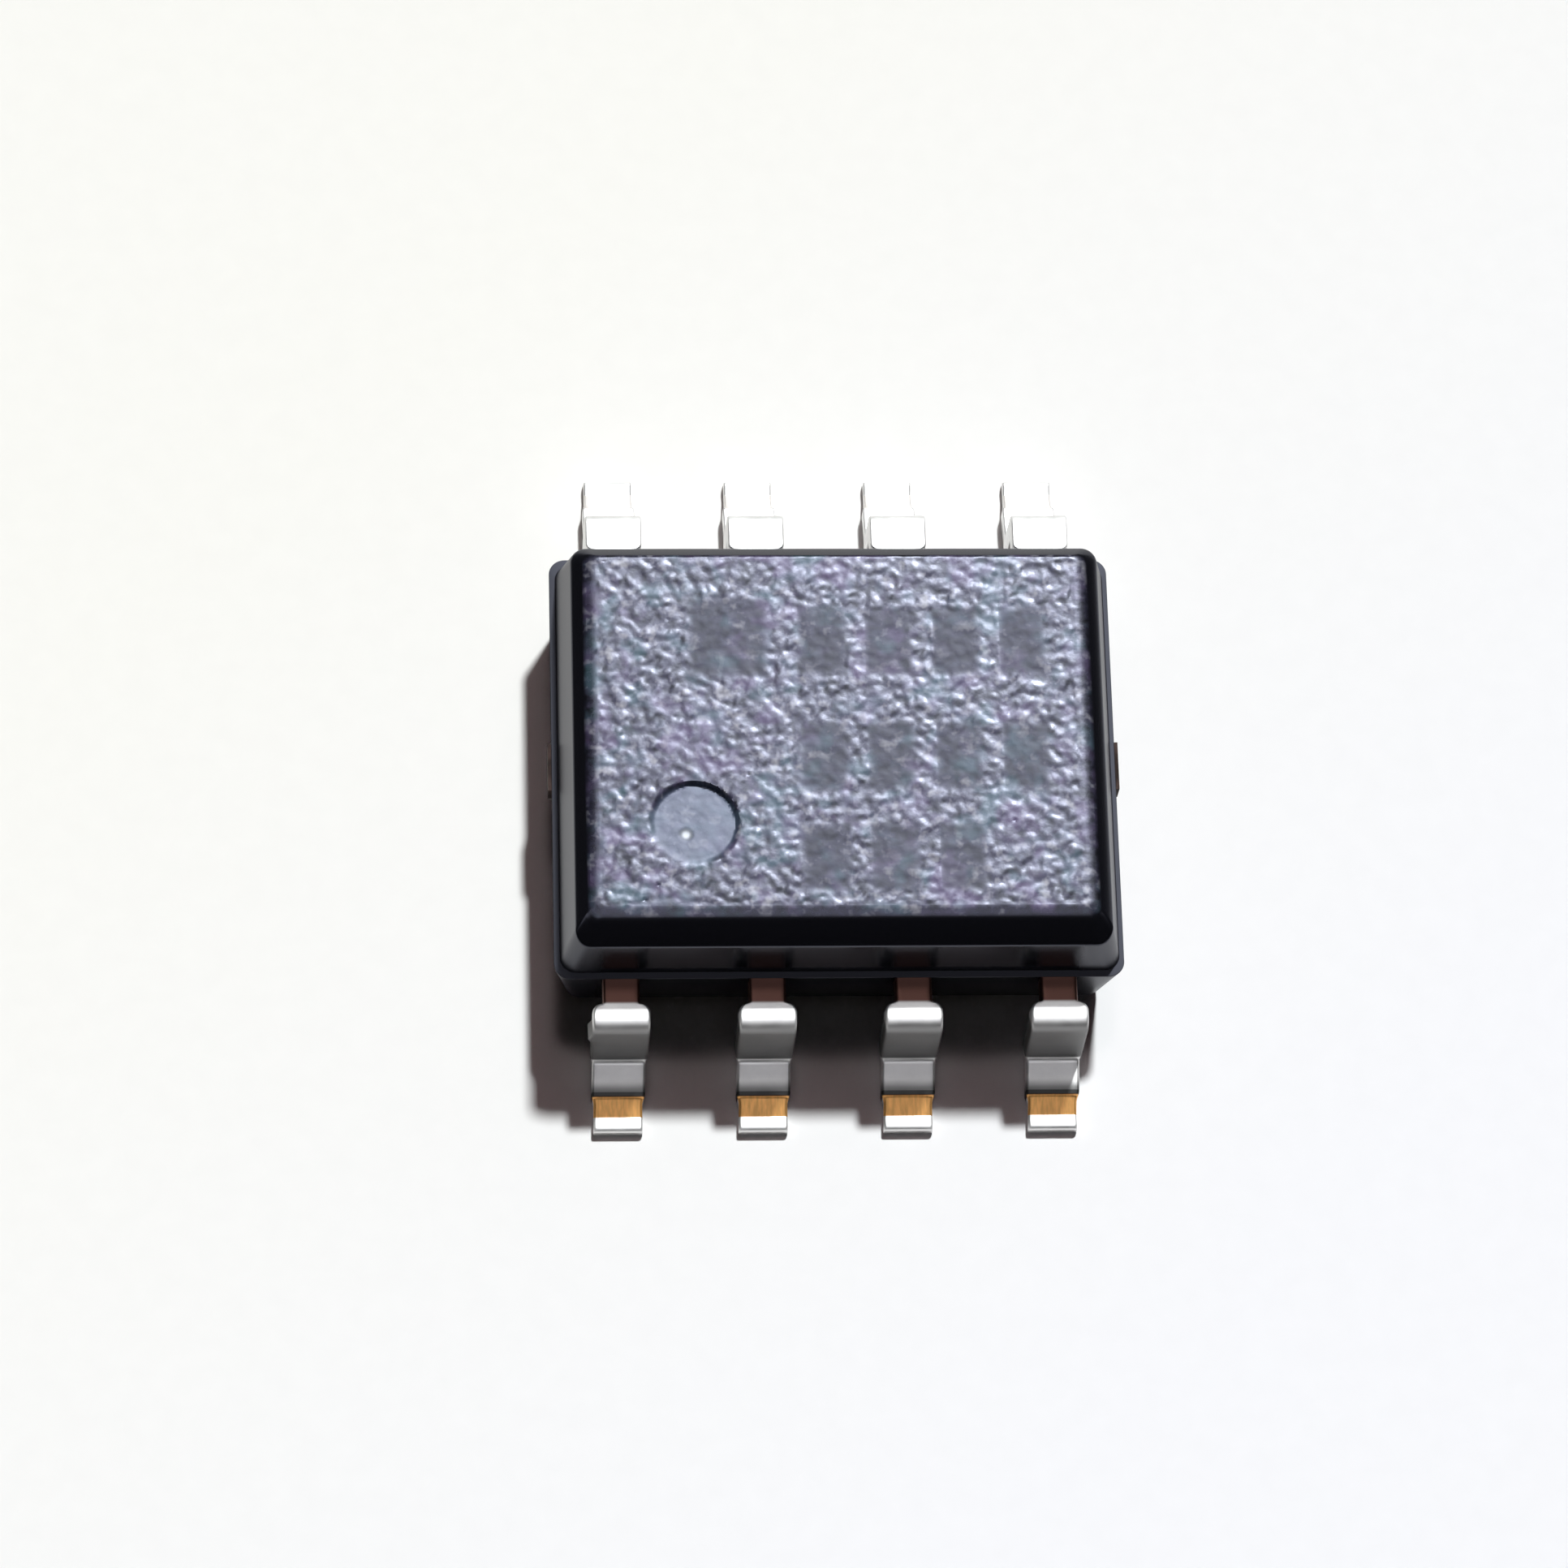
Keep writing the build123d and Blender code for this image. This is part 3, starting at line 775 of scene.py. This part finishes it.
def lead_lines(shape, start, tip):
    """Upper and lower line of a lead from inside the mould to its toe, as distance outward and height,
    station by station. Round each bend the stations fan out from the arc of the inner corner."""
    thickness, slope, wall = shape.thickness, shape.slope, mould_high.y
    shift = thickness / 2 * math.tan(slope / 2)
    shoulder = wall + shape.shoulder_reach
    under = parting - thickness
    heel = shoulder + under / math.tan(slope)
    turn, half_turn = np.linspace(0.0, slope, BEND), np.linspace(0.0, slope / 2, HALF_BEND)
    rest = np.linspace(slope / 2, slope, BEND + 1)[1:]
    shoulder_upper = partial(bend_arc, 1.0, slope, shoulder + shift, parting, shape.shoulder_radius)
    shoulder_lower = partial(bend_arc, 1.0, slope, shoulder - shift, under, shape.inner_radius)
    heel_upper = partial(bend_arc, -1.0, slope, heel + shift, thickness, shape.inner_radius)
    heel_lower = partial(bend_arc, -1.0, slope, heel - shift, 0.0, shape.heel_radius)
    flat_end = shoulder_lower(half_turn)[0, 0]
    foot_start = heel_upper(half_turn)[0, 0]
    toe_zone = tip - shape.toe_lip_length - shape.toe_bevel_run - TOE_ZONE
    upper = np.vstack([
        level_run(start, wall, parting, COVERED),
        level_run(wall, flat_end, parting, NECK),
        level_run(flat_end, shoulder_upper(turn)[0, 0], parting, HALF_BEND),
        shoulder_upper(turn),
        between(shoulder_upper(turn)[-1], heel_upper(turn)[-1], LEG),
        heel_upper(rest)[::-1],
        heel_upper(half_turn)[::-1][1:],
        level_run(foot_start, toe_zone, thickness, FOOT)[1:],
        level_run(toe_zone, tip, thickness, TOE),
        [[tip, thickness]],
    ])
    lower = np.vstack([
        level_run(start, wall, under, COVERED),
        level_run(wall, flat_end, under, NECK),
        shoulder_lower(half_turn),
        shoulder_lower(rest),
        between(shoulder_lower(turn)[-1], heel_lower(turn)[-1], LEG),
        heel_lower(turn)[::-1],
        level_run(heel_lower(turn)[0, 0], foot_start, 0.0, HALF_BEND)[1:],
        level_run(foot_start, toe_zone, 0.0, FOOT)[1:],
        level_run(toe_zone, tip, 0.0, TOE),
        [[tip, 0.0]],
    ])
    on_foot = upper[:, 0] >= foot_start
    upper[on_foot, 1] = toe_top(shape, upper[on_foot, 0], foot_start, tip)
    return upper, lower


def finger_edges(shape, out, middle, row_half):
    """Edges of the finger inside the mould at each distance outward, for a lead whose middle is given.
    Each is straight between the finger's corners."""
    root = mould_high.y - shape.finger_cover
    neck = shape.neck_width / 2
    corner = shape.finger_corner
    if abs(middle) < row_half:
        half = shape.middle_finger_width / 2
        ends = [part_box("die_pad")[1].y + shape.finger_gap, root - corner, root, root + 0.005 * MM]
        widths = np.interp(out, ends, [half, half, half - corner, neck])
        return middle - widths, middle + widths
    inner = shape.pad_length / 2 + shape.finger_gap
    taper = root - (abs(middle) - neck - inner) - corner
    first = shape.tie_bar_width / 2 + shape.finger_gap
    ends = [first, first + corner, taper, root]
    near = np.interp(out, ends, [inner + corner, inner, inner, abs(middle) - neck])
    far = np.full_like(near, abs(middle) + neck)
    return (near, far) if middle > 0 else (-far, -near)


def lead_widths(shape, out, neck_length, tip):
    """Half width outside the mould at each distance outward: the neck, a stub with rounded corners (a
    quarter of an ellipse), then smooth steps down to the leg and to the toe."""
    neck = shape.neck_width / 2
    rise = np.clip((out - mould_high.y - neck_length) / shape.stub_ease, 0.0, 1.0)
    half = neck + (shape.stub_width / 2 - neck) * np.sqrt(1.0 - (1.0 - rise) ** 2)
    stub_end = mould_high.y + shape.neck_length + shape.stub_length
    leg_share = fade(out - stub_end, *LEG_STEP)
    half = half + (shape.width - shape.stub_width) / 2 * leg_share
    toe_start = tip - shape.toe_lip_length - shape.toe_bevel_run
    return half + (shape.toe_width - shape.width) / 2 * fade(out - toe_start, *TOE_STEP)


def toe_top(shape, out, foot_start, tip):
    """Height of the lead's upper side over its foot: a straight fall from the full thickness, drawn down by
    a square law just before the shear, a small drop where the shear broke through, the sheared slope,
    then the tongue, which rises a little to a rounded end."""
    lip = tip - shape.toe_lip_length
    shear = lip - shape.toe_bevel_run
    foot_end = shape.thickness - shape.foot_drop
    ends = [foot_start, shear, shear + 0.012 * MM, lip, tip]
    heights = [shape.thickness, foot_end, shape.thickness - shape.toe_step]
    heights += [0.9 * shape.toe_lip_height, 1.15 * shape.toe_lip_height]
    top = np.interp(out, ends, heights)
    roll = np.clip((out - shear + 0.11 * MM) / (0.11 * MM), 0.0, 1.0)
    top = top - np.where(out <= shear, shape.toe_roll * roll**2, 0.0)
    past = np.clip((out - (tip - NOSE)) / NOSE, 0.0, 1.0)
    return top - NOSE * (1.0 - np.sqrt(1.0 - past**2))


def section_loop():
    """Round of a lead's section, anticlockwise seen from its toe: shares across and up, and the direction
    out of each corner's centre."""
    quarter = np.linspace(0.0, math.pi / 2, CORNER_STEPS + 1)
    inner = np.linspace(0.0, 1.0, COLUMNS + 2)[1:-1]
    across, up, turn = [], [], []
    for side, level, quarters in ((1.0, 0.0, -1), (1.0, 1.0, 0), (0.0, 1.0, 1), (0.0, 0.0, 2)):
        across.append(np.full(quarter.size, side))
        up.append(np.full(quarter.size, level))
        turn.append(quarters * math.pi / 2 + quarter)
        if side == level:
            across.append(inner[::-1] if level else inner)
            up.append(np.full(inner.size, level))
            turn.append(np.full(inner.size, math.pi / 2 if level else -math.pi / 2))
    across, up, turn = (np.concatenate(part) for part in (across, up, turn))
    return across, up, np.cos(turn), np.sin(turn)


def lead_stains_and_shade(shape, out, up, upper_side, neck_length, tip):
    """Shares of each finish round each station: brown on the neck, bare copper on the upper side of the
    shear, and painted shade that darkens the tin down the leg, over the droop before the shear and at the
    torn line."""
    browned = fade(mould_high.y + neck_length - out, *NECK_FADE)
    lip = tip - shape.toe_lip_length
    on_slope = (out > lip - shape.toe_bevel_run + 0.004 * MM) & (out < lip + 0.003 * MM)
    bare = np.where(on_slope[:, None] & upper_side[None, :], 1.0, 0.0)
    past_shoulder = fade(out - mould_high.y - 0.9 * shape.shoulder_reach, *SHOULDER_FADE)
    on_leg = past_shoulder * fade(up, *LEG_FADE)
    past_shear = out - (lip - shape.toe_bevel_run)
    droop, torn_line = fade(past_shear, *DROOP_FADE), fade(past_shear, *TORN_FADE)
    unsheared = fade(-past_shear, *SLOPE_FADE)
    # Painted shade: dark tin down the leg, over the droop before the shear and at the torn line.
    painted_shade = np.maximum.reduce([LEG_PAINTED_SHADE * on_leg, DROOP_PAINTED_SHADE * droop * unsheared, torn_line * unsheared])
    browned, painted_shade = (np.repeat(values[:, None], upper_side.size, axis=1) for values in (browned, painted_shade))
    return {"browned": browned, "sheared": bare, "cut": bare, "drawn": painted_shade}


def make_lead(shape, number, material):
    """One lead: a rounded section carried between the upper and the lower line. At each station,
    point = lower + across * X + rise * (direction from the lower to the upper line)."""
    node = f"lead_{number}"
    foot_x, foot_y, _ = feet[f"foot_{number}"]
    in_front = foot_y < 0
    start, tip = sorted(abs(corner.y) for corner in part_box(node))
    row_half = max(place[0] for name, place in feet.items() if name.startswith("foot"))
    upper, lower = lead_lines(shape, start, tip)
    out, up = (upper + lower).T / 2
    x_low, x_high = finger_edges(shape, out, foot_x, row_half)
    neck_length = shape.neck_length if in_front else shape.rear_neck_length
    half = lead_widths(shape, out, neck_length, tip)
    outside = out > mould_high.y - shape.finger_cover + 0.006 * MM
    x_low = np.where(outside, foot_x - half, x_low)
    x_high = np.where(outside, foot_x + half, x_high)
    if number == 1:
        x_low = x_low - shape.burr * np.exp(-(((up - BURR_HEIGHT) / BURR_SPREAD) ** 2))
    drift = shape.toe_drift * fade(out - mould_high.y - shape.shoulder_reach, *TOE_DRIFT)
    x_low, x_high = (x_low - drift)[:, None], (x_high - drift)[:, None]
    gap = np.linalg.norm(upper - lower, axis=1)[:, None]
    towards = (upper - lower) / gap
    across, level, turn_x, turn_up = section_loop()
    top_radius = shape.edge_radius_top if in_front else shape.rear_edge_radius
    radius = np.minimum(np.where(level > 0, top_radius, shape.edge_radius_bottom), 0.25 * gap)
    x = np.where(across > 0.5, x_high - radius, x_low + radius)
    middle = (across > 0.0) & (across < 1.0)
    x = np.where(middle, x_low + radius + across * (x_high - x_low - 2 * radius), x) + turn_x * radius
    rise = np.where(level > 0, gap - radius, radius) + turn_up * radius
    y = (lower[:, :1] + rise * towards[:, :1]) * (-1.0 if in_front else 1.0)
    z = lower[:, 1:] + rise * towards[:, 1:]
    points = np.stack([x, y, z], axis=-1).reshape(-1, 3)
    rings = np.arange(x.size).reshape(x.shape)
    if not in_front:
        rings = rings[:, ::-1]
    faces = []
    for near, far in zip(rings, rings[1:]):
        faces += ring_faces(far, near).tolist()
    faces += [rings[0].tolist(), rings[-1][::-1].tolist()]
    stains_and_shade = lead_stains_and_shade(shape, out, up, (turn_up > 0.3) & (level > 0), neck_length, tip)
    # The rear leads take paler necks and toes, a painted highlight, and no painted shade.
    shares = {} if in_front else REAR_SHARES
    attributes = {name: (shares.get(name, 1.0) * values).ravel() for name, values in stains_and_shade.items()}
    build_piece(f"tinned_lead_{number}", points, faces, attributes, material, [node])


# ---- studio ----


def direction_from(azimuth, elevation):
    """Unit vector towards a place behind the part, turned towards lead 5 by the azimuth, and up."""
    flat = math.cos(elevation)
    return Vector((flat * math.sin(azimuth), flat * math.cos(azimuth), math.sin(elevation)))


def make_floor(studio):
    """A flat square grid at the seating plane, of plain pale stock that is cooler on the side of lead 4."""
    lines = np.linspace(-studio.floor_half, studio.floor_half, 9)
    x, y = np.meshgrid(lines, lines, indexing="ij")
    points = np.column_stack([x.ravel(), y.ravel(), np.zeros(x.size)])
    mesh = bpy.data.meshes.new("floor")
    mesh.from_pydata(points.tolist(), [], grid_faces(*x.shape).tolist())
    material, tree, place = new_material("pale_floor")
    axes = add_node(tree, "ShaderNodeSeparateXYZ", {"Vector": place}).outputs
    cool = remap(tree, calculate(tree, "SUBTRACT", axes["X"], axes["Y"]), -8.0 * MM, 8.0 * MM)
    stock = blend_colour(tree, cool, studio.floor, studio.floor_cool)
    fibre = remap(tree, noise(tree, place, 0.25 * MM, 3.0), 0.3, 0.7, 0.985, 1.0)
    tone = add_node(tree, "ShaderNodeHueSaturation", {"Value": fibre, "Color": stock})
    values = {"Base Color": tone.outputs["Color"], "Roughness": 0.95, "Specular IOR Level": 0.0}
    mesh.materials.append(finished(material, values))
    put("floor", mesh)


def make_lamp(studio):
    """One distant soft lamp behind the part, towards lead 5."""
    lamp = bpy.data.lights.new("soft_lamp", "SUN")
    lamp.energy = studio.lamp_strength
    lamp.angle = studio.lamp_spread
    lamp.color = studio.lamp
    holder = put("soft_lamp", lamp)
    holder.rotation_mode = "QUATERNION"
    towards = direction_from(studio.lamp_azimuth, studio.lamp_elevation)
    holder.rotation_quaternion = towards.to_track_quat("Z", "Y")


def round_glow(tree, direction, azimuth, elevation, spread, strength):
    """A round glow on the sky: strength times exp(-2 (1 - cos) / spread²), by the angle from its middle."""
    near = combine(tree, "DOT_PRODUCT", direction, direction_from(azimuth, elevation))
    steep = product(tree, calculate(tree, "SUBTRACT", near, 1.0), 2.0 / spread**2)
    return product(tree, calculate(tree, "EXPONENT", steep, 0.0), strength)


def make_room(studio):
    """A dim room with a soft glow round the lamp and a high window. The camera and reflections also see a
    pale panel overhead and a low pale wall."""
    world = bpy.data.worlds.new("room")
    world.use_nodes = True
    tree = world.node_tree
    background = next(node for node in tree.nodes if node.type == "BACKGROUND")
    direction = tree.nodes.new("ShaderNodeTexCoord").outputs["Generated"]
    path = tree.nodes.new("ShaderNodeLightPath").outputs
    lamp = (studio.lamp_azimuth, studio.lamp_elevation, studio.glow_spread, studio.glow_strength)
    window = (studio.window_azimuth, studio.window_elevation, studio.window_spread, studio.window_strength)
    bright = calculate(tree, "ADD", *(round_glow(tree, direction, *glow) for glow in (lamp, window)))
    tint = blend_colour(tree, path["Is Diffuse Ray"], (1.0, 1.0, 1.0), studio.glow)
    dim = combine(tree, "ADD", combine(tree, "MULTIPLY", tint, bright), studio.room)
    up = add_node(tree, "ShaderNodeSeparateXYZ", {"Vector": direction}).outputs["Z"]
    edge = math.sin(studio.wall_angle)
    low = remap(tree, up, edge, edge * 1.2, 1.0, 0.0)
    panel_near = combine(tree, "DOT_PRODUCT", direction, direction_from(math.pi, studio.panel_elevation))
    over = remap(tree, panel_near, *(math.cos(studio.panel_spread * far) for far in (1.25, 0.75)))
    seen = calculate(tree, "MAXIMUM", path["Is Camera Ray"], path["Is Glossy Ray"])
    seen = calculate(tree, "MAXIMUM", seen, path["Is Transmission Ray"])
    shine = scaled(studio.panel, studio.panel_strength)
    panel = blend_colour(tree, product(tree, seen, over), (0.0, 0.0, 0.0), shine)
    open_room = combine(tree, "ADD", dim, panel)
    room = blend_colour(tree, product(tree, seen, low), open_room, studio.wall)
    feed(tree, background.inputs["Color"], room)
    bpy.context.scene.world = world


def make_camera(studio):
    """The camera looks down on the part from the front. Its axes are the view's right and up, turned by
    the roll, and the way back from the target."""
    back = direction_from(math.pi - studio.camera_azimuth, studio.camera_elevation)
    right = Vector((0.0, 0.0, 1.0)).cross(back).normalized()
    up = back.cross(right)
    cos_roll, sin_roll = math.cos(studio.camera_roll), math.sin(studio.camera_roll)
    turned_right = right * cos_roll + up * sin_roll
    turned_up = up * cos_roll - right * sin_roll
    data = bpy.data.cameras.new("camera")
    data.lens = studio.camera_lens
    data.clip_start, data.clip_end = MM, 2.0
    camera = put("camera", data)
    target = Vector((studio.target_x, studio.target_y, studio.target_z))
    axes = Matrix((turned_right, turned_up, back)).transposed().to_4x4()
    camera.matrix_world = Matrix.Translation(target + back * studio.camera_distance) @ axes
    bpy.context.scene.camera = camera


# ---- operators and panel ----


class TIMERCHIP_OT_mould(Operator):
    """Build the moulded body over its CAD node"""

    bl_idname = "timer_chip.mould"
    bl_label = "Moulded body"

    def execute(self, context):
        scene = context.scene
        make_mould(scene.timer_chip_mould, scene.timer_chip_finish)
        return {"FINISHED"}


class TIMERCHIP_OT_leads(Operator):
    """Build the eight gull-wing leads over their CAD nodes"""

    bl_idname = "timer_chip.leads"
    bl_label = "Leads"

    def execute(self, context):
        scene = context.scene
        material = tin_material(scene.timer_chip_finish)
        for number in range(1, lead_count + 1):
            make_lead(scene.timer_chip_lead, number, material)
        return {"FINISHED"}


class TIMERCHIP_OT_inner_parts(Operator):
    """Finish the die pad, adhesive, die and bond wires, which keep their CAD shape"""

    bl_idname = "timer_chip.inner_parts"
    bl_label = "Inner parts"

    def execute(self, context):
        finish = context.scene.timer_chip_finish
        gold = gold_material(finish)
        finishes = {
            "die_pad": frame_copper_material(finish),
            "die_attach": adhesive_material(finish),
            "die": silicon_material(finish),
        }
        for name, node in frame["nodes"].items():
            material = gold if name.startswith("bond_wire_") else finishes.get(name)
            if material is not None:
                node.data.materials.clear()
                node.data.materials.append(material)
        return {"FINISHED"}


class TIMERCHIP_OT_studio(Operator):
    """Set the floor, lamp, room and camera"""

    bl_idname = "timer_chip.studio"
    bl_label = "Studio"

    def execute(self, context):
        studio = context.scene.timer_chip_studio
        for make in (make_floor, make_lamp, make_room, make_camera):
            make(studio)
        context.scene.view_settings.view_transform = "Standard"
        return {"FINISHED"}


class TIMERCHIP_PT_panel(Panel):
    """Lists what the add-on builds"""

    bl_label = "Timer chip"
    bl_space_type = "VIEW_3D"
    bl_region_type = "UI"
    bl_category = "Timer chip"

    def draw(self, context):
        for operator in operators:
            self.layout.operator(operator.bl_idname)
        for label, group in property_groups.items():
            box = self.layout.box()
            box.label(text=label.rsplit("_", 1)[1].capitalize())
            for key in group.__annotations__:
                box.prop(getattr(context.scene, label), key)


operators = [TIMERCHIP_OT_mould, TIMERCHIP_OT_leads, TIMERCHIP_OT_inner_parts, TIMERCHIP_OT_studio]
property_groups = {
    "timer_chip_mould": MouldShape,
    "timer_chip_lead": LeadShape,
    "timer_chip_finish": Finish,
    "timer_chip_studio": Studio,
}


def register():
    """Registers the classes and hangs the property groups on the scene."""
    for made in [*property_groups.values(), *operators, TIMERCHIP_PT_panel]:
        bpy.utils.register_class(made)
    for label, group in property_groups.items():
        setattr(bpy.types.Scene, label, PointerProperty(type=group))


def unregister():
    """Takes off what register() put on."""
    for label in property_groups:
        delattr(bpy.types.Scene, label)
    for made in [TIMERCHIP_PT_panel, *reversed(operators), *property_groups.values()]:
        bpy.utils.unregister_class(made)


def main():
    """Registers the add-on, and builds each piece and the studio."""
    register()
    bpy.ops.timer_chip.mould()
    bpy.ops.timer_chip.leads()
    bpy.ops.timer_chip.inner_parts()
    bpy.ops.timer_chip.studio()


if __name__ == "__main__":
    main()
